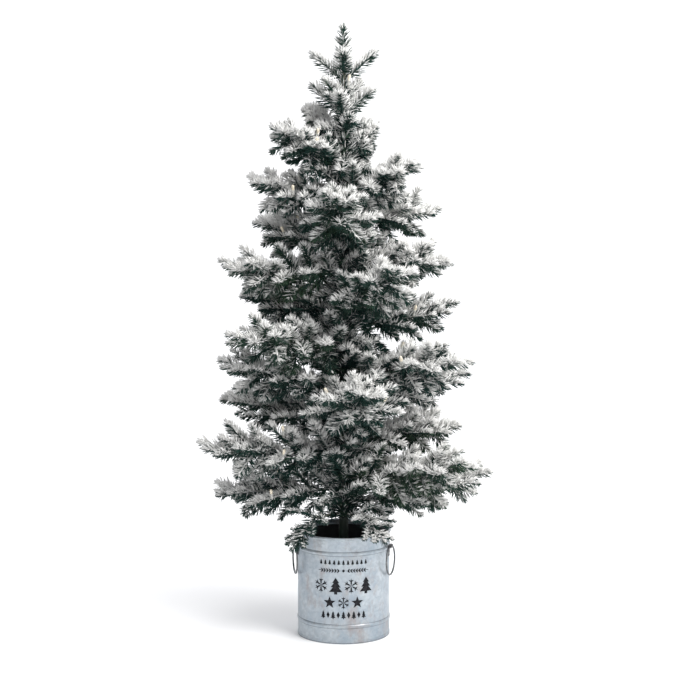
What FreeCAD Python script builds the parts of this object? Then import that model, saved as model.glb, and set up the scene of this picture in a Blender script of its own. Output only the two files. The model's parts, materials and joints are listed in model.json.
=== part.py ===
import FreeCAD, Part
import math
import os

# A flocked artificial fir, 1.22 m tall, standing in a galvanised steel bucket.
# Millimetres.  Origin: centre of the bucket's base on the floor, +Z up, -Y the front.

V = FreeCAD.Vector
ZERO = V(0, 0, 0)
UP = V(0, 0, 1)

# Bucket shell
BASE_RADIUS = 92.6
TOP_RADIUS = 93.5
SHEET = 1.0
HEM_HEIGHT = 5.0
HEM_PROUD = 0.8
BEAD_HEIGHTS = (35.0, 182.0)
BEAD_HALF = 4.0
BEAD_PROUD = 1.6
CURL_RADIUS = 2.6
CURL_SHEET = 0.8
CURL_Z = 212.4
RIM_WIRE_RADIUS = 1.7
FLOOR_Z = 4.0

# Ring handles and the straps that hold them
RING_OUTER = 62.0
RING_WIRE = 3.8
RING_PLANE = 99.4
PIVOT_Z = 185.1
EAR_WIDTH = 10.0
EAR_SHEET = 1.2
EAR_BORE = 3.0
EAR_FOOT_Z = 165.0
RIVET_Z = 170.0
RIVET_RADIUS = 1.5
RIGHT_AZIMUTH = -17.5
LEFT_AZIMUTH = 190.0

# Liner pot, cement ballast and pole socket
POT_RADIUS = 90.3
POT_WALL = 1.5
POT_TOP = 204.0
BALLAST_TOP = 70.0
SOCKET_RADIUS = 12.5
SOCKET_BORE = 10.3
SOCKET_BASE = 10.0
SOCKET_TOP = 95.0

# Trunk
POLE_RADIUS = 9.5
POLE_BASE = 14.0
POLE_TOP = 632.0
UPPER_RADIUS = 6.5
UPPER_BASE = 592.0
UPPER_TOP = 1085.0
TUBE_WALL = 1.0
LEADER_TOP = 1208.0
COLLAR_RADIUS = 12.5
COLLAR_HEIGHT = 9.0

# Branches: one every ROOT_STEP up the trunk, each turned by the golden angle from the last
BRANCH_COUNT = 28
FIRST_ROOT_Z = 268.0
ROOT_STEP = 27.3
GOLDEN_TURN = 137.508
FIRST_AZIMUTH = 36.0
ROOT_RADIUS = 16.0
ELBOW_SHARE = 0.45
TIP_CURL = 7.0
REACH = ((268, 262), (330, 276), (600, 243), (720, 218), (900, 172), (960, 138), (1010, 88))
RISE = ((268, 2), (400, 8), (700, 14), (900, 22), (1010, 38))

# Branches bent to their own azimuth, reach and rise: they make the outline from the front
AIMED = {
    0: (8, 292, 8),
    1: (174, 258, -5),
    2: (331, 286, 7),
    4: (200, 285, 0),
    5: (4, 224, 2),
    6: (155, 266, 6),
    8: (26, 262, 3),
    9: (195, 244, 7),
    10: (331, 262, 3),
    12: (220, 262, 2),
    13: (16, 226, 8),
    14: (161, 214, 7),
    17: (196, 238, 1),
    18: (351, 206, -4),
    19: (148, 200, 10),
    21: (26, 194, 1),
    22: (181, 186, 12),
    23: (335, 160, 17),
    25: (206, 158, 24),
    26: (11, 66, 40),
}

# Twigs of a branch: place along the stem, turn sideways, lift, length as a share of the stem
TWIGS = (
    (0.18, 60, 6, 0.44),
    (0.24, -58, -4, 0.44),
    (0.38, 52, -6, 0.42),
    (0.44, -50, 8, 0.42),
    (0.58, 46, 8, 0.34),
    (0.64, -44, -6, 0.34),
    (0.78, 38, -4, 0.24),
    (0.83, -36, 6, 0.22),
    (0.30, 14, 38, 0.32),
    (0.62, -12, 34, 0.27),
    (0.46, 10, -34, 0.26),
)
STEM_ROOT_RADIUS = 3.4
STEM_END_RADIUS = 2.6
TIP_ROOT_RADIUS = 2.0
TIP_WIDE_RADIUS = 4.5
TIP_END_RADIUS = 1.8
TIP_WIDE_SHARE = 0.35
TWIG_GAP = 6.5

# Two short branches that droop over the front of the rim: azimuth, droop of the outer half
SKIRT_ROOT_Z = 246.0
SKIRT_LENGTH = 142.0
SKIRT_TWIGS = range(2, 10)
SKIRTS = (("left", 227.0, 38.0), ("right", 301.0, 24.0))

# Crown: height on the leader, azimuth, rise and length of each twig
CROWN_TWIGS = (
    (1044, 8, 42, 64),
    (1044, 172, 42, 66),
    (1038, 95, 38, 58),
    (1038, 262, 38, 58),
    (1064, 48, 46, 50),
    (1064, 222, 46, 50),
    (1112, 4, 40, 66),
    (1112, 178, 40, 66),
    (1122, 92, 44, 50),
    (1122, 270, 44, 50),
)

# Light string
WIRE_RADIUS = 1.1
WIRE_COIL_RADIUS = 18.0
LEAD_RADIUS = 0.9
LAMP_BRANCHES = tuple(range(1, BRANCH_COUNT, 3))
LAMP_TWIGS = (2, 3, 8)
SOCKET_LENGTH = 15.0
LAMP_SOCKET_RADIUS = 2.9
BULB_LENGTH = 11.0
BULB_RADIUS = 2.3


def interpolate(table, at):
    """Value at a position on the straight lines through a table of (position, value) pairs."""
    for (low, low_value), (high, high_value) in zip(table, table[1:]):
        if at <= high:
            break
    share = min(max((at - low) / (high - low), 0.0), 1.0)
    return low_value + (high_value - low_value) * share


def vary(number, kind):
    """A repeatable variation between -1 and 1 for one branch."""
    return math.sin(number * 2.4 + kind * 5.1)


def compass(azimuth):
    """Unit vectors outwards from the trunk and sideways at an azimuth."""
    angle = math.radians(azimuth)
    return V(math.cos(angle), math.sin(angle), 0), V(-math.sin(angle), math.cos(angle), 0)


def lean(outwards, degrees):
    """The outward direction raised by an angle."""
    angle = math.radians(degrees)
    return outwards * math.cos(angle) + UP * math.sin(angle)


# ---------------------------------------------------------------- general solids

def tube(outer, inner, low, high):
    """Upright tube."""
    body = Part.makeCylinder(outer, high - low, V(0, 0, low))
    return body.cut(Part.makeCylinder(inner, high - low + 2, V(0, 0, low - 1)))


def rod(start, end, start_radius, end_radius):
    """Straight tapering rod between two points."""
    line = end - start
    if abs(start_radius - end_radius) < 1e-6:
        return Part.makeCylinder(start_radius, line.Length, start, line)
    return Part.makeCone(start_radius, end_radius, line.Length, start, line)


def needle_core(start, end, wide=TIP_WIDE_RADIUS):
    """Closed spindle that stands for the dense middle of a needled twig."""
    line = end - start
    outline = [
        ZERO,
        V(TIP_ROOT_RADIUS, 0, 0),
        V(wide, 0, line.Length * TIP_WIDE_SHARE),
        V(TIP_END_RADIUS, 0, line.Length),
        V(0, 0, line.Length),
        ZERO,
    ]
    solid = Part.Face(Part.makePolygon(outline)).revolve(ZERO, UP, 360)
    solid.Placement = FreeCAD.Placement(start, FreeCAD.Rotation(UP, line))
    return solid


def bent_wire(points, radius):
    """Round wire along a smooth curve through the points."""
    curve = Part.BSplineCurve()
    curve.interpolate(points)
    path = Part.Wire([curve.toShape()])
    start = Part.Wire([Part.makeCircle(radius, points[0], curve.tangent(curve.FirstParameter)[0])])
    return path.makePipeShell([start], True, True)


def jointed_wire(points, radius):
    """Thin wire in straight runs with a mitred bend between two runs."""
    first = points[1] - points[0]
    start = Part.Wire([Part.makeCircle(radius, points[0], first)])
    return Part.makePolygon(points).makePipeShell([start], True, False, 1)


# ---------------------------------------------------------------- bucket

def wall_radius(z):
    """Outer radius of the plain wall at a height."""
    return BASE_RADIUS + (TOP_RADIUS - BASE_RADIUS) * z / CURL_Z


def wall_side(inset, low, high):
    """Edges of the beaded wall from low to high, moved inwards by inset."""
    edges = []
    last = V(wall_radius(low) - inset, 0, low)
    for bead in BEAD_HEIGHTS:
        start = V(wall_radius(bead - BEAD_HALF) - inset, 0, bead - BEAD_HALF)
        crest = V(wall_radius(bead) + BEAD_PROUD - inset, 0, bead)
        end = V(wall_radius(bead + BEAD_HALF) - inset, 0, bead + BEAD_HALF)
        edges.append(Part.makeLine(last, start))
        edges.append(Part.Arc(start, crest, end).toShape())
        last = end
    edges.append(Part.makeLine(last, V(wall_radius(high) - inset, 0, high)))
    return edges


def bucket_wall():
    """Beaded sheet wall with a hem at the foot and the rim curled over a wire."""
    low, high = 0.0, CURL_Z - CURL_RADIUS + CURL_SHEET / 2
    outside = wall_side(0.0, low, high)
    inside = wall_side(SHEET, low, high)
    foot = Part.makeLine(V(wall_radius(low), 0, low), V(wall_radius(low) - SHEET, 0, low))
    head = Part.makeLine(V(wall_radius(high), 0, high), V(wall_radius(high) - SHEET, 0, high))
    profile = Part.Wire(Part.__sortEdges__(outside + inside + [foot, head]))
    wall = Part.Face(profile).revolve(ZERO, UP, 360)
    hem = tube(BASE_RADIUS + HEM_PROUD, BASE_RADIUS - SHEET / 2, 0, HEM_HEIGHT)
    ring_radius = TOP_RADIUS - 0.1
    curl = Part.makeTorus(ring_radius, CURL_RADIUS, V(0, 0, CURL_Z), UP)
    hollow = Part.makeTorus(ring_radius, CURL_RADIUS - CURL_SHEET, V(0, 0, CURL_Z), UP)
    slot = tube(ring_radius - 1.6, ring_radius - 3.5, CURL_Z - 0.5, CURL_Z + 0.5)
    shell = wall.fuse([hem, curl]).cut(hollow).cut(slot)
    holes = [rivet_shank(azimuth, RIVET_RADIUS + 0.1) for azimuth in (LEFT_AZIMUTH, RIGHT_AZIMUTH)]
    return shell.cut(holes).removeSplitter()


def rim_wire():
    """Stiffening wire inside the curled rim."""
    return Part.makeTorus(TOP_RADIUS - 0.1, RIM_WIRE_RADIUS, V(0, 0, CURL_Z), UP)


def bucket_bottom():
    """Raised floor disc with a flange turned down inside the hem."""
    radius = BASE_RADIUS - SHEET
    disc = Part.makeCylinder(radius, SHEET, V(0, 0, FLOOR_Z))
    return disc.fuse(tube(radius, radius - SHEET, 0, FLOOR_Z)).removeSplitter()


def side_seam():
    """Folded lock seam down the back of the wall between the beads."""
    low, high = 42.0, 176.0
    outline = [
        V(wall_radius(low) + 0.05, 0, low),
        V(wall_radius(low) + 0.85, 0, low),
        V(wall_radius(high) + 0.85, 0, high),
        V(wall_radius(high) + 0.05, 0, high),
    ]
    strip = Part.Face(Part.makePolygon(outline + outline[:1])).revolve(ZERO, UP, 4.5)
    strip.rotate(ZERO, UP, 85.0)
    return strip


def turned(shape, azimuth):
    """Turn a shape built at azimuth 0 to its own azimuth."""
    shape.rotate(ZERO, UP, azimuth)
    return shape


def rivet_shank(azimuth, radius):
    """Radial pin through the wall and the strap."""
    return turned(Part.makeCylinder(radius, 8, V(90, 0, RIVET_Z), V(1, 0, 0)), azimuth)


def ear(azimuth):
    """Strap riveted to the wall and rolled into a loop round the ring's wire."""
    half = EAR_WIDTH / 2
    plate_in = RING_PLANE - EAR_BORE - EAR_SHEET
    plate = Part.makeBox(EAR_SHEET, EAR_WIDTH, PIVOT_Z - EAR_FOOT_Z, V(plate_in, -half, EAR_FOOT_Z))
    foot = Part.makeBox(3.0, EAR_WIDTH, 10, V(plate_in - 2.5, -half, EAR_FOOT_Z))
    foot = foot.cut(Part.makeCone(wall_radius(EAR_FOOT_Z - 5), wall_radius(EAR_FOOT_Z + 15), 20,
                                  V(0, 0, EAR_FOOT_Z - 5)))
    across = V(0, 1, 0)
    start = V(RING_PLANE, -half, PIVOT_Z)
    loop = Part.makeCylinder(EAR_BORE + EAR_SHEET, EAR_WIDTH, start, across)
    bore = Part.makeCylinder(EAR_BORE, EAR_WIDTH + 2, start - across, across)
    strap = turned(plate.fuse([foot, loop]).cut(bore), azimuth)
    return strap.cut(rivet_shank(azimuth, RIVET_RADIUS + 0.1)).removeSplitter()


def rivet(azimuth):
    """Rivet with a flat head outside the strap and a flat head inside the wall."""
    inner = wall_radius(RIVET_Z) - SHEET
    outer = RING_PLANE - EAR_BORE
    across = V(1, 0, 0)
    shank = Part.makeCylinder(RIVET_RADIUS, outer - inner + 1, V(inner - 0.5, 0, RIVET_Z), across)
    head = Part.makeCylinder(2.7, 0.9, V(outer, 0, RIVET_Z), across)
    tail = Part.makeCylinder(2.5, 0.8, V(inner - 0.85, 0, RIVET_Z), across)
    return turned(shank.fuse([head, tail]).removeSplitter(), azimuth)


def ring_handle(azimuth):
    """Round wire ring hanging from its strap."""
    major = (RING_OUTER - RING_WIRE) / 2
    centre = V(RING_PLANE, 0, PIVOT_Z - major)
    return turned(Part.makeTorus(major, RING_WIRE / 2, centre, V(1, 0, 0)), azimuth)


def liner_pot():
    """Plastic pot inside the bucket that holds the cement."""
    low = FLOOR_Z + SHEET
    pot = tube(POT_RADIUS, POT_RADIUS - POT_WALL, low, POT_TOP)
    floor = Part.makeCylinder(POT_RADIUS, POT_WALL, V(0, 0, low))
    lip = tube(POT_RADIUS + 1.4, POT_RADIUS - POT_WALL, POT_TOP - 3, POT_TOP)
    return pot.fuse([floor, lip]).removeSplitter()


def ballast():
    """Cement poured round the pole socket."""
    low = FLOOR_Z + SHEET + POT_WALL
    block = Part.makeCylinder(POT_RADIUS - POT_WALL, BALLAST_TOP - low, V(0, 0, low))
    return block.cut(Part.makeCylinder(SOCKET_RADIUS, BALLAST_TOP, V(0, 0, SOCKET_BASE)))


def pole_socket():
    """Steel sleeve closed at the bottom; the pole drops into it."""
    sleeve = Part.makeCylinder(SOCKET_RADIUS, SOCKET_TOP - SOCKET_BASE, V(0, 0, SOCKET_BASE))
    return sleeve.cut(Part.makeCylinder(SOCKET_BORE, SOCKET_TOP, V(0, 0, SOCKET_BASE + 2)))


# ---------------------------------------------------------------- trunk

def trunk_pole():
    """Lower steel tube of the trunk."""
    return tube(POLE_RADIUS, POLE_RADIUS - TUBE_WALL, POLE_BASE, POLE_TOP)


def pole_foot():
    """Plastic plug in the lower end of the pole."""
    flange = Part.makeCylinder(POLE_RADIUS, 1.6, V(0, 0, POLE_BASE - 1.6))
    return flange.fuse(Part.makeCylinder(POLE_RADIUS - TUBE_WALL - 0.1, 16, V(0, 0, POLE_BASE)))


def trunk_reducer():
    """Bushing that carries the thinner upper tube inside the pole."""
    inner = UPPER_RADIUS
    sleeve = tube(POLE_RADIUS - TUBE_WALL, inner, UPPER_BASE, POLE_TOP)
    return sleeve.fuse(tube(POLE_RADIUS + 1, inner, POLE_TOP, POLE_TOP + 10)).removeSplitter()


def trunk_top():
    """Thinner upper tube of the trunk."""
    return tube(UPPER_RADIUS, UPPER_RADIUS - TUBE_WALL, UPPER_BASE, UPPER_TOP)


def root_heights():
    """Heights of the branch roots on the trunk, the two drooping ones first."""
    return [SKIRT_ROOT_Z] + [FIRST_ROOT_Z + ROOT_STEP * n for n in range(BRANCH_COUNT)]


def branch_collars():
    """Crimped rings that hold the branch roots to the trunk."""
    rings = []
    for z in root_heights():
        bore = POLE_RADIUS if z < POLE_TOP else UPPER_RADIUS
        rings.append(tube(COLLAR_RADIUS, bore, z - COLLAR_HEIGHT / 2, z + COLLAR_HEIGHT / 2))
    return Part.makeCompound(rings)


def leader():
    """Top shoot, plugged into the upper tube, with the crown's twigs."""
    plug = Part.makeCylinder(UPPER_RADIUS - TUBE_WALL - 0.1, 25, V(0, 0, UPPER_TOP - 25))
    stem = rod(V(0, 0, UPPER_TOP), V(0, 0, UPPER_TOP + 40), 5.2, 3.2)
    shoot = needle_core(V(0, 0, UPPER_TOP + 40.2), V(0, 0, LEADER_TOP), 3.6)
    solids = [plug.fuse(stem).removeSplitter(), shoot]
    for height, azimuth, rise, length in CROWN_TWIGS:
        outwards, sideways = compass(azimuth)
        gap = 9.0 if height < UPPER_TOP else 6.5
        start = V(0, 0, height) + lean(outwards, rise) * gap / math.cos(math.radians(rise))
        solids.append(needle_core(start, start + lean(outwards, rise) * length))
    return Part.makeCompound(solids)


# ---------------------------------------------------------------- branches

class Branch:
    """Centre lines of one branch: root, elbow and end of the stem, then its twigs."""

    def __init__(self, azimuth, root_z, length, rise, outer_rise, number, twigs=range(len(TWIGS))):
        self.outwards, self.sideways = compass(azimuth)
        self.number = number
        self.twigs = twigs
        self.length = length
        self.rises = (rise, outer_rise)
        self.root = self.outwards * ROOT_RADIUS + UP * root_z
        self.elbow = self.root + lean(self.outwards, rise) * (length * ELBOW_SHARE)
        self.end = self.elbow + lean(self.outwards, outer_rise) * (length * (1 - ELBOW_SHARE))

    def rise_at(self, place):
        return self.rises[0] if place < ELBOW_SHARE else self.rises[1]

    def along(self, place):
        """Point on the stem's centre line at a share of its length."""
        if place < ELBOW_SHARE:
            return self.root + (self.elbow - self.root) * (place / ELBOW_SHARE)
        return self.elbow + (self.end - self.elbow) * ((place - ELBOW_SHARE) / (1 - ELBOW_SHARE))

    def heading(self, place, turn, lift):
        """Direction turned sideways from the stem, then lifted."""
        ahead = lean(self.outwards, self.rise_at(place))
        above = lean(self.outwards, self.rise_at(place) + 90)
        turn, lift = math.radians(turn), math.radians(lift)
        flat = ahead * math.cos(turn) + self.sideways * math.sin(turn)
        return flat * math.cos(lift) + above * math.sin(lift)

    def twig(self, index):
        """Start and end of one twig."""
        place, turn, lift, share = TWIGS[index]
        turn += 4 * vary(self.number, index)
        lift += 3 * vary(self.number, index + 20)
        length = share * self.length * (1 + 0.08 * vary(self.number, index + 40))
        heading = self.heading(place, turn, lift)
        origin = self.along(place)
        return origin + heading * TWIG_GAP, origin + heading * max(length, TWIG_GAP + 16)

    def solids(self):
        """Stem, end tip and twigs as separate closed solids."""
        parts = [rod(self.root, self.elbow, STEM_ROOT_RADIUS, STEM_END_RADIUS)]
        parts.append(needle_core(self.elbow, self.end, TIP_WIDE_RADIUS - 0.8))
        for index in self.twigs:
            parts.append(needle_core(*self.twig(index)))
        return Part.makeCompound(parts)


def regular_branch(number):
    """One of the branches on the golden-angle spiral."""
    root_z = FIRST_ROOT_Z + ROOT_STEP * number
    azimuth = FIRST_AZIMUTH + GOLDEN_TURN * number
    reach = interpolate(REACH, root_z) * (1 + 0.05 * vary(number, 60))
    rise = interpolate(RISE, root_z) + 2.5 * vary(number, 61)
    azimuth, reach, rise = AIMED.get(number, (azimuth, reach, rise))
    return Branch(azimuth, root_z, reach - ROOT_RADIUS, rise, rise + TIP_CURL, number)


def skirt_branch(azimuth, droop, number):
    """Short low branch whose outer half hangs over the rim."""
    return Branch(azimuth, SKIRT_ROOT_Z, SKIRT_LENGTH, 5.0, -droop, number, SKIRT_TWIGS)


# ---------------------------------------------------------------- light string

def lamp(base, heading):
    """Long narrow lamp holder with its small round-ended bulb."""
    heading = heading.normalize()
    mouth = base + heading * SOCKET_LENGTH
    holder = rod(base, mouth, LAMP_SOCKET_RADIUS - 0.9, LAMP_SOCKET_RADIUS)
    neck = mouth + heading * (BULB_LENGTH - BULB_RADIUS)
    glass = rod(mouth - heading, neck, BULB_RADIUS, BULB_RADIUS - 0.3)
    return holder.fuse([glass, Part.makeSphere(BULB_RADIUS - 0.3, neck)]).removeSplitter()


def branch_lamps(branch):
    """Lamps of one branch with their leads, laid under the stem and the twigs."""
    solids = []
    for index in LAMP_TWIGS:
        place, turn, lift, share = TWIGS[index]
        start, end = branch.twig(index)
        hand = 1 if turn > 0 else -1
        under = UP * -8.3 + branch.sideways * (hand * 6.0)
        middle = start + (end - start) * 0.55
        across = (end - start).cross(UP).normalize() * -hand
        seat = middle + across * (TIP_WIDE_RADIUS + 2.8)
        points = [
            branch.along(0.03) + under,
            branch.along(place * 0.6) + under,
            start + (end - start) * 0.25 + UP * -4.0 + across * 6.2,
            seat,
        ]
        solids.append(jointed_wire(points, LEAD_RADIUS))
        solids.append(lamp(seat + UP * 1.2, UP + (end - start).normalize() * 0.5 + across * 0.35))
    return Part.makeCompound(solids)


def coil_point(turn, radius=WIRE_COIL_RADIUS):
    """Point of the string's coil, half a step above the branch spiral."""
    outwards, sideways = compass(FIRST_AZIMUTH + GOLDEN_TURN * turn)
    return outwards * radius + UP * (FIRST_ROOT_Z + ROOT_STEP * (turn + 0.5))


def light_wire():
    """Wire of the light string, coiled up the trunk between the branch roots."""
    steps = range(0, 4 * (BRANCH_COUNT - 1) + 1)
    return bent_wire([coil_point(step / 4) for step in steps], WIRE_RADIUS)


def crown_lamp():
    """Lamp clipped beside the top shoot."""
    return lamp(V(9.0, -7.5, 1098), V(0.12, -0.15, 1))


# ---------------------------------------------------------------- build

def all_nodes():
    """Every node's name with the function that makes it."""
    nodes = {
        "bucket_wall": bucket_wall,
        "rim_wire": rim_wire,
        "bucket_bottom": bucket_bottom,
        "side_seam": side_seam,
        "ear_left": lambda: ear(LEFT_AZIMUTH),
        "ear_right": lambda: ear(RIGHT_AZIMUTH),
        "ear_rivets": lambda: Part.makeCompound([rivet(LEFT_AZIMUTH), rivet(RIGHT_AZIMUTH)]),
        "ring_left": lambda: ring_handle(LEFT_AZIMUTH),
        "ring_right": lambda: ring_handle(RIGHT_AZIMUTH),
        "liner_pot": liner_pot,
        "ballast": ballast,
        "pole_socket": pole_socket,
        "trunk_pole": trunk_pole,
        "pole_foot": pole_foot,
        "trunk_reducer": trunk_reducer,
        "trunk_top": trunk_top,
        "branch_collars": branch_collars,
        "leader": leader,
        "light_wire": light_wire,
        "crown_lamp": crown_lamp,
    }
    for order, (side, azimuth, droop) in enumerate(SKIRTS):
        skirt = skirt_branch(azimuth, droop, BRANCH_COUNT + order)
        nodes["skirt_branch_" + side] = skirt.solids
    for number in range(BRANCH_COUNT):
        nodes["branch_%02d" % (number + 1)] = regular_branch(number).solids
    for number in LAMP_BRANCHES:
        branch = regular_branch(number)
        nodes["lamps_%02d" % (number + 1)] = lambda branch=branch: branch_lamps(branch)
    return nodes


os.makedirs("parts", exist_ok=True)
for name, make in all_nodes().items():
    make().exportStep("parts/" + name + ".step")
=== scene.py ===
import json
import math

import bpy
import bmesh
import numpy as np
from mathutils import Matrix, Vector


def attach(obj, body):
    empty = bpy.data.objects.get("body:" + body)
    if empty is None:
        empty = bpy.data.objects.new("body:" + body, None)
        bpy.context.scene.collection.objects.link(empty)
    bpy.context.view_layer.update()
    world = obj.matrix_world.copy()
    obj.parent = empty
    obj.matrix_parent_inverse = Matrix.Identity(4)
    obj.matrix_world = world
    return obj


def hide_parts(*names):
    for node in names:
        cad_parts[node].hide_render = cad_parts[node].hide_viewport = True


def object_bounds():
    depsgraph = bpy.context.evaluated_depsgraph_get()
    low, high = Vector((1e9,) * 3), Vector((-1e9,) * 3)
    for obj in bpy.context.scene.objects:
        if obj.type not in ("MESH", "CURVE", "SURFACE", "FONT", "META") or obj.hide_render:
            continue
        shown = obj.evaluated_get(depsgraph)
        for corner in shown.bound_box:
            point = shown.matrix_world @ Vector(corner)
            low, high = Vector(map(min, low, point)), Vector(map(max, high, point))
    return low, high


# A flocked artificial fir in a galvanised bucket.  Metres, in the frame's own axes.

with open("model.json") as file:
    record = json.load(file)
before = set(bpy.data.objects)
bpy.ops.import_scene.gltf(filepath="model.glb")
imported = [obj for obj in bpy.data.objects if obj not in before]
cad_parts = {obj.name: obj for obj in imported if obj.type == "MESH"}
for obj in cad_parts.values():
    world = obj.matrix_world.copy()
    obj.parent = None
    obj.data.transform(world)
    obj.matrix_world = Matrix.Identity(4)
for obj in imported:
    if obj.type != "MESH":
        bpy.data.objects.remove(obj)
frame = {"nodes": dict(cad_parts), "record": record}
start_low, start_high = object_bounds()
rng = np.random.default_rng(41)

# The needles' map: across is the amount of flock, up is the shade of green.
NEEDLE_UV = "OFBake"
FLAT_V = (0.02, 0.80)       # band of the map that needles use
STEM_V = (0.88, 0.98)       # band of the map that stems use

NEEDLE_LONG = 0.0255
SKIRT_NEEDLE_LONG = 0.014   # needles of the twigs that hang over the bucket
NEEDLE_RADIUS = 0.00084
NEEDLES_PER_METRE = 1350
SPARE_NEEDLES = 34          # added to every twig, so that a short one is full too
TIP_NEEDLES = 26            # of a twig's needles, those that fan out at its end

# Amount of flock, 0 to 1.
BRANCH_FLOCK = 0.385
TOP_FLOCK = 0.12            # added at the top of the tree
BARE_FLOCK = 0.10           # the left skirt branch is nearly all green

# A stem runs straight to its elbow and then to its end; places are shares of its length.
ELBOW_PLACE = 0.45
LAST_SPRIG_PLACE = 0.74

# Trunk and tree heights.
TREE_LOW, TREE_HIGH = 0.24, 1.22
POLE_JOIN = 0.63            # the thick lower pole ends here
LOWER_POLE_RADIUS, UPPER_POLE_RADIUS = 0.0098, 0.0068
WRAP_LOW, WRAP_HIGH = 0.235, 1.10
WRAP_NEEDLES = 5200
TRUNK_SPRIGS = 120          # short sprigs that hide the pole
TRUNK_SPRIG_LOW, TRUNK_SPRIG_RISE = 0.262, 0.79
SPIRAL_STEP = 147.125       # degrees from one trunk sprig to the next
LEADER_JOIN = 1.07          # a leader piece that starts below this is its main wire

# Bucket wall, for the ornament printed on it.
WALL_TALL = 0.2124
WALL_RADIUS, WALL_FLARE = 0.0926, 0.0009
INK_LIFT = 0.00018
INK_HALF_WIDTH, INK_STEP = 0.07, 0.003

# Needles keep inside the CAD box and a little more.
margin = (np.array(start_high) - np.array(start_low)) * 0.025 + 0.008
ROOM_LOW, ROOM_HIGH = np.array(start_low) - margin, np.array(start_high) + margin

# Lamp outlines: (radius, distance from the foot of the holder).
HOLDER_PROFILE = (
    (0.0002, 0), (0.0020, 0.0002), (0.0022, 0.004), (0.0026, 0.0045), (0.0026, 0.006),
    (0.0023, 0.0065), (0.0027, 0.0135), (0.0031, 0.0138), (0.0031, 0.0150), (0.0024, 0.0152),
)
BULB_PROFILE = (
    (0.0023, 0.0148), (0.0026, 0.0165), (0.0029, 0.0190), (0.0031, 0.0215),
    (0.0029, 0.0238), (0.0022, 0.0254), (0.0012, 0.0263), (0.0001, 0.0266),
)
LEAD_AT_LEAST = 0.034       # solids longer than this in a lamp node are leads

# Dark lines round the bucket wall (height, half width): painted shade beside the beads; a foot line.
SHADED_LINES = (
    (0.0012, 0.0014), (0.031, 0.0006), (0.039, 0.0006), (0.178, 0.0006), (0.186, 0.0006),
)

CAMERA_AT = (0.013, -3.60, 1.00)
CAMERA_PITCH = -6.68
CAMERA_LENS = 93.09


# ------------------------------------------------------------ node material helpers

class Recipe:
    """Short way to build one procedural material."""

    def __init__(self, name):
        self.material = bpy.data.materials.new(name)
        self.material.use_nodes = True
        self.tree = self.material.node_tree
        self.shader = self.tree.nodes["Principled BSDF"]

    def node(self, kind, **values):
        made = self.tree.nodes.new(kind)
        for key, value in values.items():
            if key in made.inputs:
                made.inputs[key].default_value = value
            else:
                setattr(made, key, value)
        return made

    def link(self, source, target):
        self.tree.links.new(source, target)

    def coords(self, scale=(1, 1, 1)):
        place = self.node("ShaderNodeMapping")
        place.inputs["Scale"].default_value = scale
        self.link(self.node("ShaderNodeTexCoord").outputs["Object"], place.inputs["Vector"])
        return place.outputs[0]

    def noise(self, where, scale, detail=3.0, rough=0.55):
        made = self.node("ShaderNodeTexNoise", Scale=scale, Detail=detail, Roughness=rough)
        self.link(where, made.inputs["Vector"])
        return made.outputs["Fac"]

    def ramp(self, value, stops):
        made = self.node("ShaderNodeValToRGB")
        band = made.color_ramp
        while len(band.elements) < len(stops):
            band.elements.new(0.5)
        for element, (at, colour) in zip(band.elements, stops):
            element.position = at
            element.color = (*colour, 1) if len(colour) == 3 else colour
        self.link(value, made.inputs["Fac"])
        return made.outputs["Color"]

    def grey(self, value, low, high):
        """Map 0..1 to a number between low and high."""
        made = self.node("ShaderNodeMapRange")
        made.inputs["To Min"].default_value = low
        made.inputs["To Max"].default_value = high
        self.link(value, made.inputs["Value"])
        return made.outputs[0]

    def mix(self, factor, a, b, blend="MIX"):
        made = self.node("ShaderNodeMix", data_type="RGBA", blend_type=blend)
        if isinstance(factor, float):
            made.inputs["Factor"].default_value = factor
        else:
            self.link(factor, made.inputs["Factor"])
        for socket, value in ((made.inputs[6], a), (made.inputs[7], b)):
            if isinstance(value, tuple):
                socket.default_value = (*value, 1)
            else:
                self.link(value, socket)
        return made.outputs[2]

    def bump(self, height, strength, distance=0.001):
        made = self.node("ShaderNodeBump", Strength=strength, Distance=distance)
        self.link(height, made.inputs["Height"])
        self.link(made.outputs[0], self.shader.inputs["Normal"])

    def finish(self, colour, rough, metal=0.0, **others):
        self.link(colour, self.shader.inputs["Base Color"])
        if isinstance(rough, float):
            self.shader.inputs["Roughness"].default_value = rough
        else:
            self.link(rough, self.shader.inputs["Roughness"])
        self.shader.inputs["Metallic"].default_value = metal
        for key, value in others.items():
            self.shader.inputs[key.replace("_", " ")].default_value = value
        return self.material


def mottled(name, dark, light, scale, rough=(0.5, 0.7), metal=0.0, bump=0.15, **others):
    """A plain surface with fine uneven colour, roughness and grain."""
    r = Recipe(name)
    where = r.coords()
    grain = r.noise(where, scale)
    colour = r.ramp(grain, ((0.3, dark), (0.7, light)))
    r.bump(r.noise(where, scale * 3), bump, 0.0004)
    return r.finish(colour, r.grey(r.noise(where, scale * 0.5), *rough), metal, **others)


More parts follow.
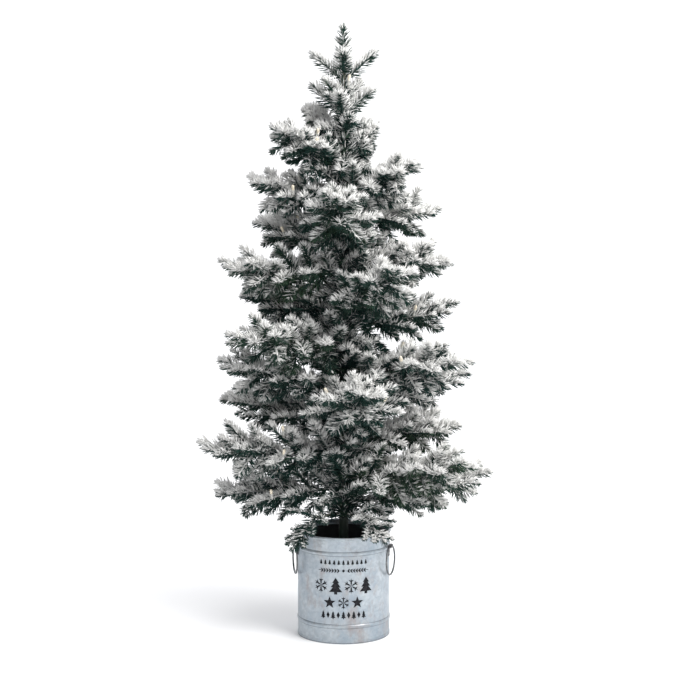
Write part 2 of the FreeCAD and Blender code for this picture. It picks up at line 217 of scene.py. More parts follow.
def galvanised():
    """Zinc-coated sheet: crystal spangle, streaks and warm stains."""
    r = Recipe("galvanised_sheet")
    where = r.coords()
    warped = r.node("ShaderNodeVectorMath", operation="ADD")
    wobble = r.node("ShaderNodeTexNoise", Scale=90.0, Detail=2.0)
    r.link(where, wobble.inputs["Vector"])
    shift = r.node("ShaderNodeVectorMath", operation="SCALE")
    shift.inputs["Scale"].default_value = 0.012
    r.link(wobble.outputs["Color"], shift.inputs[0])
    r.link(where, warped.inputs[0])
    r.link(shift.outputs[0], warped.inputs[1])
    cells = r.node("ShaderNodeTexVoronoi", Scale=190.0)
    r.link(warped.outputs[0], cells.inputs["Vector"])
    split = r.node("ShaderNodeSeparateColor")
    r.link(cells.outputs["Color"], split.inputs[0])
    spangle = r.ramp(split.outputs[0], ((0.0, (0.37, 0.41, 0.445)), (0.5, (0.42, 0.465, 0.50)),
                                        (1.0, (0.48, 0.525, 0.555))))
    clouds = r.noise(where, 18.0, 6.0, 0.7)
    toned = r.mix(r.ramp(clouds, ((0.38, (0, 0, 0)), (0.68, (0.85, 0.85, 0.85)))), spangle,
                  (0.27, 0.33, 0.39))
    stains = r.noise(r.coords((1, 1, 0.5)), 30.0, 7.0, 0.75)
    stained = r.mix(r.ramp(stains, ((0.50, (0, 0, 0)), (0.68, (0.7, 0.7, 0.7)))), toned,
                    (0.31, 0.255, 0.23))
    height = r.node("ShaderNodeSeparateXYZ")
    r.link(where, height.inputs[0])
    marked = stained
    # Painted shade: dark lines in the creases on either side of the two beads, and a dark line at the
    # foot of the wall.
    for line, wide in SHADED_LINES:
        away = r.node("ShaderNodeMath", operation="COMPARE")
        r.link(height.outputs[2], away.inputs[0])
        away.inputs[1].default_value = line
        away.inputs[2].default_value = wide
        soft = r.node("ShaderNodeMath", operation="MULTIPLY")
        r.link(away.outputs[0], soft.inputs[0])
        soft.inputs[1].default_value = 0.55
        marked = r.mix(soft.outputs[0], marked, (0.09, 0.10, 0.11))
    rough = r.grey(r.mix(0.5, split.outputs[1], clouds), 0.30, 0.50)
    r.bump(clouds, 0.12, 0.002)
    return r.finish(marked, rough, 0.55)


def needle_material():
    """Green needles turning to off-white flock across the needles' map."""
    r = Recipe("flocked_needles")
    uv = r.node("ShaderNodeUVMap", uv_map=NEEDLE_UV)
    axes = r.node("ShaderNodeSeparateXYZ")
    r.link(uv.outputs[0], axes.inputs[0])
    place = r.node("ShaderNodeMapping")
    place.inputs["Scale"].default_value = (30, 90, 1)
    r.link(uv.outputs[0], place.inputs["Vector"])
    speck = r.noise(place.outputs[0], 2.5, 4.0, 0.7)
    tint = r.noise(place.outputs[0], 0.35, 2.0)
    green = r.ramp(axes.outputs[1], ((0.02, (0.006, 0.024, 0.021)), (0.25, (0.011, 0.040, 0.033)),
                                     (0.5, (0.020, 0.050, 0.038)), (0.8, (0.036, 0.068, 0.034))))
    flock = r.ramp(tint, ((0.3, (0.66, 0.655, 0.64)), (0.55, (0.81, 0.805, 0.79)),
                          (0.75, (0.90, 0.895, 0.88))))
    sum_up = r.node("ShaderNodeMath", operation="MULTIPLY_ADD")
    r.link(speck, sum_up.inputs[0])
    sum_up.inputs[1].default_value = 0.55
    r.link(axes.outputs[0], sum_up.inputs[2])
    cover = r.ramp(sum_up.outputs[0], ((0.58, (0, 0, 0)), (0.71, (0.42, 0.42, 0.42)),
                                       (0.86, (0.97, 0.97, 0.97))))
    return r.finish(r.mix(cover, green, flock), 0.86, 0.0, Specular_IOR_Level=0.25)


def stem_material():
    """Wrapped wire stems, brown-green with flock on top."""
    r = Recipe("wrapped_stems")
    uv = r.node("ShaderNodeUVMap", uv_map=NEEDLE_UV)
    axes = r.node("ShaderNodeSeparateXYZ")
    r.link(uv.outputs[0], axes.inputs[0])
    place = r.node("ShaderNodeMapping")
    place.inputs["Scale"].default_value = (40, 300, 1)
    r.link(uv.outputs[0], place.inputs["Vector"])
    speck = r.noise(place.outputs[0], 2.0, 3.0)
    sum_up = r.node("ShaderNodeMath", operation="MULTIPLY_ADD")
    r.link(speck, sum_up.inputs[0])
    sum_up.inputs[1].default_value = 0.5
    r.link(axes.outputs[0], sum_up.inputs[2])
    colour = r.ramp(sum_up.outputs[0], ((0.35, (0.035, 0.055, 0.03)), (0.7, (0.20, 0.19, 0.16)),
                                        (1.0, (0.66, 0.65, 0.62))))
    return r.finish(colour, 0.9, 0.0, Specular_IOR_Level=0.2)


# ------------------------------------------------------------ mesh helpers

def triangle_mesh(name, points, triangles, uvs=None, materials=(), slots=None, smooth=True):
    """Mesh object from arrays of points and triangles, with one map value per point."""
    mesh = bpy.data.meshes.new(name)
    mesh.vertices.add(len(points))
    mesh.vertices.foreach_set("co", np.asarray(points, np.float32).ravel())
    count = len(triangles)
    mesh.loops.add(count * 3)
    mesh.loops.foreach_set("vertex_index", np.asarray(triangles, np.int32).ravel())
    mesh.polygons.add(count)
    mesh.polygons.foreach_set("loop_start", np.arange(0, count * 3, 3, dtype=np.int32))
    if slots is not None:
        mesh.polygons.foreach_set("material_index", np.asarray(slots, np.int32))
    mesh.update(calc_edges=True)
    mesh.polygons.foreach_set("use_smooth", np.full(count, smooth))
    if uvs is not None:
        layer = mesh.uv_layers.new(name=NEEDLE_UV)
        corners = np.asarray(uvs, np.float32)[np.asarray(triangles).ravel()]
        layer.data.foreach_set("uv", corners.ravel())
    mesh.validate()
    made = bpy.data.objects.new(name, mesh)
    for material in materials:
        mesh.materials.append(material)
    bpy.context.scene.collection.objects.link(made)
    return made


class Heap:
    """Collects points, triangles, map values and slots for one mesh."""

    def __init__(self):
        self.points, self.triangles, self.uvs, self.slots = [], [], [], []
        self.count = 0

    def add(self, points, triangles, uvs, slot=0):
        self.points.append(points)
        self.triangles.append(triangles + self.count)
        self.uvs.append(uvs)
        self.slots.append(np.full(len(triangles), slot, np.int32))
        self.count += len(points)

    def build(self, name, materials):
        return triangle_mesh(name, np.concatenate(self.points), np.concatenate(self.triangles),
                             np.concatenate(self.uvs), materials, np.concatenate(self.slots))


def unit(v):
    """The same directions at length 1."""
    return v / np.maximum(np.linalg.norm(v, axis=-1, keepdims=True), 1e-12)


def sideways_of(directions):
    """Two unit vectors square to each direction."""
    helper = np.where(np.abs(directions[:, 2:3]) > 0.9, [[1.0, 0, 0]], [[0, 0, 1.0]])
    a = unit(np.cross(directions, helper))
    return a, np.cross(directions, a)


RING = np.array([math.radians(a) for a in (90, 210, 330)])
NEEDLE_FACES = np.array([(0, 1, 4), (0, 4, 3), (1, 2, 5), (1, 5, 4), (2, 0, 3), (2, 3, 5),
                         (3, 4, 6), (4, 5, 6), (5, 3, 6)])


def grow_needles(heap, roots, headings, lengths, curls, flock, shade):
    """Three-sided curved needles; the upper side of each carries more flock."""
    count = len(roots)
    tips = roots + headings * lengths[:, None] + curls
    over = np.maximum(tips - ROOM_HIGH, ROOM_LOW - tips).max(1)
    lengths = np.maximum(lengths - np.maximum(over, 0) * 1.5, 0.004)
    a, b = sideways_of(headings)
    radius = NEEDLE_RADIUS * rng.uniform(0.8, 1.25, count) * (1 + 0.9 * np.clip(flock, 0, 1))
    points = np.empty((count, 7, 3))
    for ring, (along, thick) in enumerate(((0.0, 0.75), (0.55, 1.0))):
        centre = roots + headings * (lengths * along)[:, None] + curls * along ** 2
        for corner, angle in enumerate(RING):
            out = a * math.cos(angle) + b * math.sin(angle)
            points[:, ring * 3 + corner] = centre + out * (radius * thick)[:, None]
    points[:, 6] = roots + headings * lengths[:, None] + curls
    centre = points[:, :6].mean(1, keepdims=True)
    rise = (points - centre)[:, :, 2] / (radius[:, None] + 1e-9)
    u = flock[:, None] + 0.17 * np.clip(rise, -1.2, 1.2)
    u[:, 0:3] -= 0.22
    u[:, 6] += 0.04
    v = np.repeat(shade[:, None], 7, 1) + np.array([0, 0, 0, 0.01, 0.01, 0.01, 0.02])
    uvs = np.stack([np.clip(u, 0.01, 0.99), np.clip(v, *FLAT_V)], -1)
    faces = (NEEDLE_FACES[None] + (np.arange(count) * 7)[:, None, None]).reshape(-1, 3)
    heap.add(points.reshape(-1, 3), faces, uvs.reshape(-1, 2))


def grow_core(heap, line, radii, flock, sides=7, slot=0, band=None):
    """Knobbly sleeve along a line of points, flocked on its upper side."""
    line = np.asarray(line)
    rings = len(line)
    along = unit(np.gradient(line, axis=0))
    a, b = sideways_of(along)
    turn = np.arange(sides) * 2 * math.pi / sides
    knob = 1 + 0.22 * rng.standard_normal((rings, sides))
    out = a[:, None] * np.cos(turn)[None, :, None] + b[:, None] * np.sin(turn)[None, :, None]
    points = line[:, None] + out * (np.asarray(radii)[:, None] * knob)[..., None]
    u = flock + 0.30 * out[..., 2] + 0.06 * rng.standard_normal((rings, sides))
    low, high = band or (0.03, 0.5)
    v = rng.uniform(low, high, (rings, sides))
    uvs = np.stack([np.clip(u, 0.01, 0.99), v], -1)
    faces = []
    for ring in range(rings - 1):
        for side in range(sides):
            p = ring * sides + side
            q = ring * sides + (side + 1) % sides
            faces += [(p, q, q + sides), (p, q + sides, p + sides)]
    last = rings * sides
    points = np.concatenate([points.reshape(-1, 3), line[:1], line[-1:] + along[-1:] * radii[-1]])
    uvs = np.concatenate([uvs.reshape(-1, 2), uvs[0, :1], uvs[-1, :1]])
    for side in range(sides):
        other = (side + 1) % sides
        faces.append((other, side, last))
        faces.append((last - sides + side, last - sides + other, last + 1))
    heap.add(points, np.array(faces), uvs, slot)


def bent_line(start, end, sag, count):
    """Points from start to end on a gentle curve that leaves the straight line by sag."""
    share = np.linspace(0, 1, count)[:, None]
    return start + (end - start) * share + sag * (share ** 2)


def grow_twig(heap, start, end, flock, shade, density=1.0, long=NEEDLE_LONG, core=0.0028):
    """One needled twig with its knobbly core."""
    length = float(np.linalg.norm(end - start))
    axis = (end - start) / length
    lift = np.array([0, 0, 1.0]) * rng.uniform(-0.05, 0.05) * length
    sag = lift + rng.normal(0, 0.02, 3) * length
    rings = max(4, int(length / 0.008))
    line = bent_line(start, end, sag, rings)
    share = np.linspace(0, 1, rings)
    grow_core(heap, line, core * (0.75 + 0.5 * np.sin(share * 3.0)) * (1 - 0.35 * share), flock)
    count = int(length * NEEDLES_PER_METRE * density) + SPARE_NEEDLES
    s = rng.uniform(0.0, 0.97, count)
    s[-TIP_NEEDLES:] = rng.uniform(0.95, 1.0, TIP_NEEDLES)
    root = start + axis * (s * length)[:, None] + sag * (s ** 2)[:, None]
    side = unit(np.cross(axis, [0, 0, 1.0] if abs(axis[2]) < 0.97 else [0, 1.0, 0]))
    above = np.cross(side, axis)
    turn = rng.uniform(0, 2 * math.pi, count)
    around = side * np.cos(turn)[:, None] + above * (np.sin(turn) * 0.72)[:, None]
    open_by = np.radians(66 - 15 * s + rng.normal(0, 4.5, count))
    open_by[-TIP_NEEDLES:] = np.radians(rng.uniform(4, 52, TIP_NEEDLES))
    heading = unit(axis * np.cos(open_by)[:, None] + around * np.sin(open_by)[:, None])
    size = long * (1 - 0.42 * s ** 5) * rng.uniform(0.88, 1.06, count) * np.minimum(1, 0.7 + s * 3)
    curl = (axis * 0.09 + np.array([0, 0, 0.035])) * size[:, None]
    mottle = flock + 0.24 * np.sin(turn) + 0.20 * (s - 0.5) + rng.normal(0, 0.18, count)
    tint = np.clip(shade + rng.normal(0, 0.06, count), *FLAT_V)
    grow_needles(heap, root, heading, size, curl, mottle, tint)


# ------------------------------------------------------------ reading the CAD lines

def islands(node):
    """The separate solids of a CAD node, each an array of points."""
    mesh = frame["nodes"][node].data
    points = np.array([v.co for v in mesh.vertices], float)
    keys = {}
    same = np.array([keys.setdefault(tuple(np.round(p * 2e5).astype(int)), len(keys))
                     for p in points])
    parent = list(range(len(keys)))

    def find(i):
        while parent[i] != i:
            parent[i] = parent[parent[i]]
            i = parent[i]
        return i

    for polygon in mesh.polygons:
        first = find(same[polygon.vertices[0]])
        for vertex in polygon.vertices[1:]:
            parent[find(same[vertex])] = first
    groups = {}
    for i, key in enumerate(same):
        groups.setdefault(find(key), []).append(i)
    return [(points[index], set(index)) for index in groups.values()]


def ends_of(points):
    """The two end centres of a long round solid."""
    centre = (points.max(0) + points.min(0)) / 2
    spread = points - points.mean(0)
    axis = np.linalg.eigh(spread.T @ spread)[1][:, -1]
    along = (points - centre) @ axis
    found = []
    for limit in (along.min(), along.max()):
        near = points[np.abs(along - limit) < 0.0004]
        found.append((near.max(0) + near.min(0)) / 2)
    return found


def off_line(point, line):
    """Distance from a point to a chain of straight runs."""
    best = 1e9
    for a, b in zip(line, line[1:]):
        share = np.clip(np.dot(point - a, b - a) / np.dot(b - a, b - a), 0, 1)
        best = min(best, np.linalg.norm(point - a - (b - a) * share))
    return best


def twig_lines(node):
    """Stem line (root, elbow, end) and the twigs of a branch node, all running outwards."""
    lines = [ends_of(points) for points, _ in islands(node)]
    reach = [min(np.linalg.norm(e[:2]) for e in pair) for pair in lines]
    stem = lines.pop(int(np.argmin(reach)))
    stem.sort(key=lambda e: np.linalg.norm(e[:2]))
    gaps = [min(np.linalg.norm(e - stem[1]) for e in pair) for pair in lines]
    tip = lines.pop(int(np.argmin(gaps)))
    tip.sort(key=lambda e: np.linalg.norm(e - stem[1]))
    line = [stem[0], stem[1], tip[1]]
    for pair in lines:
        pair.sort(key=lambda e: off_line(e, line))
    return line, lines


# ------------------------------------------------------------ camera, light and floor

def area_light(name, at, towards, size, power, colour=(1, 1, 1)):
    """Rectangular lamp, power in watts."""
    data = bpy.data.lights.new(name, "AREA")
    data.shape = "RECTANGLE"
    data.size, data.size_y = size
    data.energy = power
    data.color = colour
    made = bpy.data.objects.new(name, data)
    made.location = at
    made.rotation_euler = (Vector(towards) - Vector(at)).to_track_quat("-Z", "Y").to_euler()
    bpy.context.scene.collection.objects.link(made)


def studio():
    """Camera, soft lights, a dark card to the left, pale surroundings and a curved backdrop."""
    scene = bpy.context.scene
    camera = bpy.data.objects.new("camera", bpy.data.cameras.new("camera"))
    camera.location = CAMERA_AT
    camera.rotation_euler = (math.radians(90 + CAMERA_PITCH), 0, 0)
    camera.data.lens = CAMERA_LENS
    camera.data.clip_end = 60
    scene.collection.objects.link(camera)
    scene.camera = camera
    area_light("key", (1.9, -1.7, 2.6), (0.05, 0, 0.65), (1.9, 1.9), 104, (1.0, 0.99, 0.975))
    area_light("top", (0.5, -0.5, 3.6), (0, 0, 0.5), (1.8, 1.8), 52)
    area_light("fill", (-2.6, -1.8, 1.6), (0, 0, 0.6), (2.0, 2.0), 7, (0.95, 0.97, 1.0))
    area_light("back", (0.4, 2.4, 2.8), (0, 0, 0.6), (2.4, 1.4), 22)
    area_light("backdrop", (0.0, 2.9, 3.6), (0.0, 6.0, 1.4), (5.0, 2.0), 116)
    card = bpy.data.meshes.new("left_card")
    corners = [(-1.15, -1.3, 0.02), (-1.15, 0.5, 0.02), (-1.15, 0.5, 1.5), (-1.15, -1.3, 1.5)]
    card.from_pydata(corners, [], [(0, 1, 2, 3)])
    card.materials.append(mottled("card_black", (0.03, 0.03, 0.03), (0.05, 0.05, 0.05),
                                  5.0, (0.9, 0.95)))
    flag = bpy.data.objects.new("left_card", card)
    flag.visible_camera = False
    flag.visible_shadow = False
    flag.visible_diffuse = False
    scene.collection.objects.link(flag)
    world = bpy.data.worlds.new("surroundings")
    world.use_nodes = True
    world.node_tree.nodes["Background"].inputs["Color"].default_value = (0.97, 0.98, 1.0, 1)
    world.node_tree.nodes["Background"].inputs["Strength"].default_value = 0.66
    scene.world = world
    scene.view_settings.view_transform = "Standard"
    scene.view_settings.exposure = 0.0
    profile = [(-9.0, 0.0), (4.0, 0.0)]
    profile += [(4.0 + 2 * math.sin(t), 2 - 2 * math.cos(t))
                for t in np.linspace(0.15, math.pi / 2, 12)]
    profile.append((6.0, 9.0))
    points = [(x, y, z) for y, z in profile for x in (-9.0, 9.0)]
    faces = [(2 * i, 2 * i + 1, 2 * i + 3, 2 * i + 2) for i in range(len(profile) - 1)]
    mesh = bpy.data.meshes.new("floor")
    mesh.from_pydata(points, [], faces)
    mesh.polygons.foreach_set("use_smooth", [True] * len(faces))
    floor = bpy.data.objects.new("floor", mesh)
    scene.collection.objects.link(floor)
    mesh.materials.append(mottled("floor_paper", (0.93, 0.93, 0.94), (0.95, 0.95, 0.955), 2.0,
                                  (0.85, 0.9), bump=0.0))


# ------------------------------------------------------------ tree

def height_share(z):
    """0 at the foot of the foliage, 1 at the top of the tree."""
    return min(max((z - TREE_LOW) / (TREE_HIGH - TREE_LOW), 0), 1)


def fill_sprigs(heap, line, count, flock, shade):
    """Short sprigs all round the inner run of a stem, pointing outwards, up and down."""
    run = line[2] - line[0]
    outward = unit(np.array([run[0], run[1], 0.0]))
    across = np.array([-outward[1], outward[0], 0.0])
    reach = float(np.linalg.norm(run))
    for k in range(count):
        place = LAST_SPRIG_PLACE * (k + rng.uniform(0.1, 0.9)) / count
        if place < ELBOW_PLACE:
            at = line[0] + (line[1] - line[0]) * (place / ELBOW_PLACE)
        else:
            beyond = (place - ELBOW_PLACE) / (1 - ELBOW_PLACE)
            at = line[1] + (line[2] - line[1]) * beyond
        hand = 1 if k % 2 else -1
        swing = math.radians(hand * rng.uniform(12, 68))
        lift = math.radians(rng.uniform(18, 58) if k % 4 < 2 else rng.uniform(-52, -14))
        flat = outward * math.cos(swing) + across * math.sin(swing)
        heading = flat * math.cos(lift) + np.array([0, 0, math.sin(lift)])
        long = min(rng.uniform(0.046, 0.074), 0.30 * reach + 0.012) * (1.1 - 0.35 * place)
        end = at + heading * long
        outside = max(0.0, (end - np.array(start_high)).max(), (np.array(start_low) - end).max())
        long -= 1.3 * outside
        if long < 0.02:
            continue
        covered = flock + 0.34 * (place - 0.40) + (0.07 if lift > 0 else -0.10)
        grow_twig(heap, at, at + heading * long, covered + rng.normal(0, 0.11),
                  shade + rng.normal(0, 0.08), 1.0, NEEDLE_LONG, 0.0024)


def foliage(node, body, needles, stems):
    """Everything that grows on one branch wire."""
    line, twigs = twig_lines(node)
    heap = Heap()
    mood = rng.uniform(-0.14, 0.10)
    shade = rng.uniform(0.12, 0.62)
    bare = node == "skirt_branch_left"
    base_flock = BRANCH_FLOCK + mood + TOP_FLOCK * height_share(line[0][2])
    if bare:
        base_flock = BARE_FLOCK
    inner = bent_line(line[0], line[1], np.zeros(3), 14)
    grow_core(heap, inner, np.full(14, 0.0026), 0.20, 6, 1, STEM_V)
    grow_twig(heap, line[0] + (line[1] - line[0]) * 0.12, line[1],
              base_flock - 0.26, shade, 0.75, 0.020)
    grow_twig(heap, line[1], line[2], base_flock + 0.08, shade)
    long = SKIRT_NEEDLE_LONG if "skirt" in node else NEEDLE_LONG
    for start, end in twigs:
        out = off_line(start, [line[0], line[0] + (line[1] - line[0]) * 0.01])
        share = min(1.0, out / (np.linalg.norm(line[2] - line[0]) * 0.8))
        grow_twig(heap, start - (end - start) * 0.05, end,
                  base_flock + 0.12 * (share - 0.4) + rng.normal(0, 0.11),
                  shade + rng.normal(0, 0.06), 1.0, long)
    if "skirt" not in node:
        reach = float(np.linalg.norm(line[2] - line[0]))
        fill_sprigs(heap, line, int(7 + reach * 62), base_flock - 0.04, shade)
    number = node.replace("branch_", "")
    made = heap.build("foliage_" + number, (needles, stems))
    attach(made, body)
    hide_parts(node)


def crown(needles, stems):
    """Needles of the top shoot."""
    heap = Heap()
    for points, _ in islands("leader"):
        ends = sorted(ends_of(points), key=lambda e: (np.linalg.norm(e[:2]), e[2]))
        upright = np.linalg.norm(ends[0][:2]) < 0.004 and np.linalg.norm(ends[1][:2]) < 0.004
        if upright:
            ends.sort(key=lambda e: e[2])
        if upright and ends[0][2] < LEADER_JOIN:
            grow_core(heap, bent_line(ends[0], ends[1], np.zeros(3), 10), np.full(10, 0.0042), 0.3,
                      8, 1, STEM_V)
            grow_twig(heap, ends[0], ends[1], 0.32, 0.3, 1.2)
            continue
        grow_twig(heap, ends[0], ends[1], 0.34 + rng.normal(0, 0.04), rng.uniform(0.3, 0.6), 1.3,
                  NEEDLE_LONG * 1.12)
    made = heap.build("crown_foliage", (needles, stems))
    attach(made, "tree")
    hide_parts("leader")


def trunk_wrap(needles, stems):
    """Dark needled wrap that hides the pole between the branches."""
    heap = Heap()
    count = WRAP_NEEDLES
    z = rng.uniform(WRAP_LOW, WRAP_HIGH, count)
    turn = rng.uniform(0, 2 * math.pi, count)
    out = np.stack([np.cos(turn), np.sin(turn), np.zeros(count)], -1)
    radius = np.where(z < POLE_JOIN, LOWER_POLE_RADIUS, UPPER_POLE_RADIUS)
    roots = out * radius[:, None] + np.stack([np.zeros(count), np.zeros(count), z], -1)
    heading = unit(out + np.stack([np.zeros(count)] * 2 + [rng.normal(0.35, 0.35, count)], -1)
                   + rng.normal(0, 0.25, (count, 3)))
    size = rng.uniform(0.022, 0.042, count) * np.where(z > 1.0, 0.6, 1.0)
    flock = rng.normal(0.16, 0.10, count) + 0.16 * (z - WRAP_LOW) / (WRAP_HIGH - WRAP_LOW)
    grow_needles(heap, roots, heading, size, heading * 0.0, flock, rng.uniform(0.03, 0.35, count))
    for k in range(TRUNK_SPRIGS):
        share = (k + 0.5) / TRUNK_SPRIGS
        foot = np.array([0, 0, TRUNK_SPRIG_LOW + TRUNK_SPRIG_RISE * share])
        turn = math.radians(SPIRAL_STEP * k + rng.uniform(-20, 20))
        lift = math.radians(rng.uniform(-28, 42))
        heading = np.array([math.cos(turn) * math.cos(lift), math.sin(turn) * math.cos(lift),
                            math.sin(lift)])
        long = rng.uniform(0.075, 0.115) * (1 - 0.42 * share)
        grow_twig(heap, foot + heading * 0.010, foot + heading * long, rng.uniform(0.16, 0.40),
                  rng.uniform(0.05, 0.5), 0.95, NEEDLE_LONG, 0.0022)
    made = heap.build("trunk_wrap", (needles, stems))
    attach(made, "tree")


# ------------------------------------------------------------ lamps

def lathe(profile, base, axis, sides=16):
    """Round solid turned about an axis from (radius, distance) pairs."""
    turn = np.arange(sides) * 2 * math.pi / sides
    points = [(r * math.cos(t), r * math.sin(t), h) for r, h in profile for t in turn]
    rings = len(profile)
    faces = []
    for ring in range(rings - 1):
        for side in range(sides):
            p, q = ring * sides + side, ring * sides + (side + 1) % sides
            faces += [(p, q, q + sides), (p, q + sides, p + sides)]
    turned = Vector((0, 0, 1)).rotation_difference(Vector(axis)).to_matrix()
    points = [tuple(Vector(base) + turned @ Vector(p)) for p in points]
    return np.array(points), np.array(faces)


def lamp_parts(node, body, holder_look, bulb_look, lead_look):
    """Lamp holders, bulbs and leads of one node as three pieces."""
    holders, bulbs, leads = [], [], []
    source = frame["nodes"][node].data
    for points, index in islands(node):
        size = points.max(0) - points.min(0)
        if np.linalg.norm(size) > LEAD_AT_LEAST:
            keep = sorted(index)
            renumber = {old: new for new, old in enumerate(keep)}
            faces = [[renumber[v] for v in p.vertices]
                     for p in source.polygons if p.vertices[0] in index]
            leads.append(([source.vertices[i].co[:] for i in keep], faces))
            continue
        ends = ends_of(points)
        spread = [np.ptp(points[np.linalg.norm(points - e, axis=1) < 0.004], axis=0).max()
                  for e in ends]
        base, tip = ends if spread[0] > spread[1] else ends[::-1]
        axis = unit(tip - base)
        holders.append(lathe(HOLDER_PROFILE, base, axis))
        bulbs.append(lathe(BULB_PROFILE, base, axis))
    number = node.replace("lamps_", "")
    for label, parts, look in (("holders_", holders, holder_look), ("bulbs_", bulbs, bulb_look),
                               ("leads_", leads, lead_look)):
        if not parts:
            continue
        mesh = bpy.data.meshes.new(label + number)
        points, faces, offset = [], [], 0
        for part_points, part_faces in parts:
            points += [tuple(p) for p in part_points]
            faces += [tuple(int(i) + offset for i in f) for f in part_faces]
            offset = len(points)
        mesh.from_pydata(points, [], faces)
        mesh.polygons.foreach_set("use_smooth", [True] * len(mesh.polygons))
        mesh.materials.append(look)
        piece = bpy.data.objects.new(label + number, mesh)
        bpy.context.scene.collection.objects.link(piece)
        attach(piece, body)
    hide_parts(node)


# ------------------------------------------------------------ printed decoration

def wall_point(across, z, lift):
    """Point on the bucket's front at an arc distance from the middle."""
    share = z / WALL_TALL
    radius = WALL_RADIUS + WALL_FLARE * share + lift
    angle = across / radius
    return radius * math.sin(angle), -radius * math.cos(angle), z


def decals(shapes, look):
    """Ink shapes on the bucket: outlines in (arc distance, height)."""
    whole = bmesh.new()
    for outline in shapes:
        bm = bmesh.new()
        face = bm.faces.new([bm.verts.new((x, 0, z)) for x, z in outline])
        face.normal_update()
        bmesh.ops.triangulate(bm, faces=[face], ngon_method="EAR_CLIP")
        for cut in np.arange(-INK_HALF_WIDTH, INK_HALF_WIDTH + 0.0001, INK_STEP):
            geometry = bm.verts[:] + bm.edges[:] + bm.faces[:]
            bmesh.ops.bisect_plane(bm, geom=geometry, plane_co=(cut, 0, 0), plane_no=(1, 0, 0))
        mesh = bpy.data.meshes.new("part")
        bm.to_mesh(mesh)
        whole.from_mesh(mesh)
        bm.free()
        bpy.data.meshes.remove(mesh)
    for vertex in whole.verts:
        vertex.co = wall_point(vertex.co.x, vertex.co.z, INK_LIFT)
    bmesh.ops.recalc_face_normals(whole, faces=whole.faces[:])
    mesh = bpy.data.meshes.new("printed_ornament")
    whole.to_mesh(mesh)
    whole.free()
    mesh.materials.append(look)
    piece = bpy.data.objects.new("printed_ornament", mesh)
    bpy.context.scene.collection.objects.link(piece)
    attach(piece, "bucket")


def diamond(x, z, wide, tall):
    """Four-point outline; wide and tall are half its size."""
    return [(x - wide, z), (x, z - tall), (x + wide, z), (x, z + tall)]


def fir(x, z, wide, tall):
    """Three-tier fir outline standing at (x, z)."""
    return [(x - wide * 0.12, z), (x + wide * 0.12, z), (x + wide * 0.12, z + tall * 0.14),
            (x + wide * 0.5, z + tall * 0.14), (x + wide * 0.22, z + tall * 0.42),
            (x + wide * 0.38, z + tall * 0.42), (x + wide * 0.15, z + tall * 0.68),
            (x + wide * 0.27, z + tall * 0.68), (x, z + tall), (x - wide * 0.27, z + tall * 0.68),
            (x - wide * 0.15, z + tall * 0.68), (x - wide * 0.38, z + tall * 0.42),
            (x - wide * 0.22, z + tall * 0.42), (x - wide * 0.5, z + tall * 0.14),
            (x - wide * 0.12, z + tall * 0.14)]


def star(x, z, radius, points=6, inner=0.42):
    """Star with its first point straight up."""
    turns = [math.pi / 2 + math.pi * k / points for k in range(points * 2)]
    sizes = [radius if k % 2 == 0 else radius * inner for k in range(points * 2)]
    return [(x + s * math.cos(t), z + s * math.sin(t)) for s, t in zip(sizes, turns)]


def leaf(x, z, angle, long, wide):
    """Slim leaf from (x, z) at an angle in degrees."""
    t = math.radians(angle)
    along, across = (math.cos(t), math.sin(t)), (-math.sin(t), math.cos(t))
    steps = ((0, 0), (0.35, 0.5), (0.7, 0.38), (1, 0), (0.7, -0.38), (0.35, -0.5))
    return [(x + along[0] * a * long + across[0] * b * wide,
             z + along[1] * a * long + across[1] * b * wide)
            for a, b in steps]


def bar(x0, x1, z0, z1):
    """Upright rectangle."""
    return [(x0, z0), (x1, z0), (x1, z1), (x0, z1)]


def snowflake(x, z, radius):
    """Six arms with side barbs."""
    shapes = []
    for k in range(6):
        angle = 60 * k + 30
        shapes.append(leaf(x, z, angle, radius, radius * 0.20))
        t = math.radians(angle)
        px, pz = x + math.cos(t) * radius * 0.55, z + math.sin(t) * radius * 0.55
        shapes.append(leaf(px, pz, angle + 52, radius * 0.38, radius * 0.14))
        shapes.append(leaf(px, pz, angle - 52, radius * 0.38, radius * 0.14))
    return shapes


def ornament():
    """Rows of small firs, sprigs, flakes and stars, from the top down."""
    shapes = []
    for k in range(-5, 6):
        shapes.append(fir(k * 0.0092, 0.1605, 0.0072, 0.0105))
    sprig_z, sprig_lean = 0.1490, 52
    for hand in (-1, 1):
        for k in range(7):
            x = hand * (0.008 + k * 0.0056)
            shapes.append(leaf(x, sprig_z, 90 - hand * sprig_lean, 0.0068, 0.0026))
            shapes.append(leaf(x, sprig_z, -90 + hand * sprig_lean, 0.0068, 0.0026))
        shapes.append(bar(*sorted((hand * 0.006, hand * 0.052)), 0.1485, 0.1495))
    shapes.append(diamond(0, sprig_z, 0.0034, 0.0034))
    large_foot, flake_z = 0.1010, 0.1180
    for flake_x, fir_x in ((-0.0465, -0.0155), (0.0155, 0.0465)):
        shapes += snowflake(flake_x, flake_z, 0.0160)
        shapes.append(fir(fir_x, large_foot, 0.027, 0.034))
    star_z, star_x = 0.0840, 0.028
    shapes.append(star(-star_x, star_z, 0.0130, 5))
    shapes += snowflake(0.0, star_z, 0.0135)
    shapes.append(star(star_x, star_z, 0.0130, 5))
    for k in range(-4, 5):
        if k % 2:
            shapes.append(diamond(k * 0.0104, 0.0590, 0.0034, 0.0070))
        else:
            shapes.append(fir(k * 0.0104, 0.0510, 0.0100, 0.0160))
    return shapes


# ------------------------------------------------------------ build

studio()

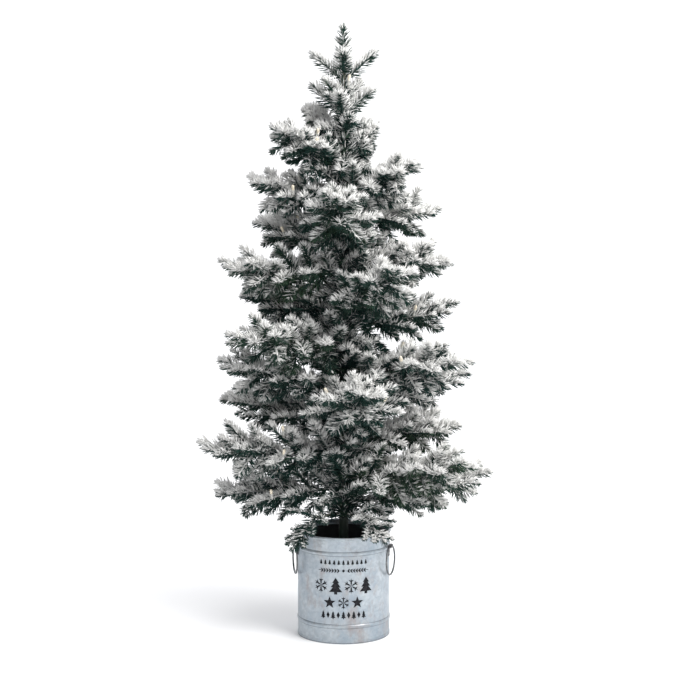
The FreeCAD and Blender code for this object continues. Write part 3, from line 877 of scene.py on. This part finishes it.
zinc = galvanised()
wire_steel = mottled("zinc_wire", (0.24, 0.25, 0.26), (0.45, 0.46, 0.47), 160.0, (0.35, 0.5), 0.85)
ring_steel = mottled("ring_steel", (0.10, 0.105, 0.11), (0.26, 0.265, 0.27), 160.0, (0.35, 0.5),
                     0.8)
strap_steel = mottled("dark_strap", (0.05, 0.052, 0.055), (0.16, 0.16, 0.165), 140.0, (0.4, 0.6),
                      0.8)
black_liner = mottled("black_liner", (0.008, 0.008, 0.009), (0.020, 0.020, 0.022), 60.0, (0.5, 0.75))
cement = mottled("cement", (0.05, 0.048, 0.045), (0.12, 0.115, 0.11), 80.0, (0.85, 0.95), bump=0.6)
tube_green = mottled("green_tube", (0.004, 0.012, 0.007), (0.010, 0.024, 0.014), 90.0, (0.5, 0.65))
black_plug = mottled("black_plug", (0.01, 0.01, 0.011), (0.03, 0.03, 0.032), 90.0)
green_tape = mottled("green_tape", (0.012, 0.040, 0.022), (0.035, 0.085, 0.045), 200.0, (0.6, 0.8))
green_wire = mottled("green_wire", (0.010, 0.045, 0.020), (0.020, 0.075, 0.035), 260.0, (0.35, 0.5))
flocked_holder = mottled("flocked_holder", (0.30, 0.30, 0.27), (0.80, 0.79, 0.76), 420.0, (0.8, 0.95))
cream_bulb = mottled("cream_bulb", (0.74, 0.65, 0.50), (0.88, 0.81, 0.68), 500.0, (0.12, 0.2),
                     bump=0.02)
ink = mottled("stencil_ink", (0.006, 0.006, 0.008), (0.030, 0.030, 0.034), 300.0, (0.8, 0.95),
              Specular_IOR_Level=0.15)
needles = needle_material()
stems = stem_material()

LOOKS = {
    "bucket_wall": zinc, "bucket_bottom": zinc, "side_seam": zinc, "rim_wire": wire_steel,
    "ring_left": ring_steel, "ring_right": ring_steel, "ear_left": strap_steel,
    "ear_right": strap_steel, "ear_rivets": wire_steel, "liner_pot": black_liner,
    "ballast": cement, "pole_socket": tube_green, "trunk_pole": tube_green, "trunk_top": tube_green,
    "pole_foot": black_plug, "trunk_reducer": black_plug, "branch_collars": green_tape,
    "light_wire": green_wire,
}
for node, look in LOOKS.items():
    mesh = frame["nodes"][node].data
    mesh.materials.clear()
    mesh.materials.append(look)

body_of = {node: body
           for body, nodes in frame["record"]["behaviour"]["bodies"].items() for node in nodes}
for node in sorted(frame["nodes"]):
    if "branch_" in node and node != "branch_collars":
        foliage(node, body_of[node], needles, stems)
crown(needles, stems)
trunk_wrap(needles, stems)
for node in sorted(frame["nodes"]):
    if node.startswith("lamps_") or node == "crown_lamp":
        lamp_parts(node, body_of[node], flocked_holder, cream_bulb, green_wire)
decals(ornament(), ink)
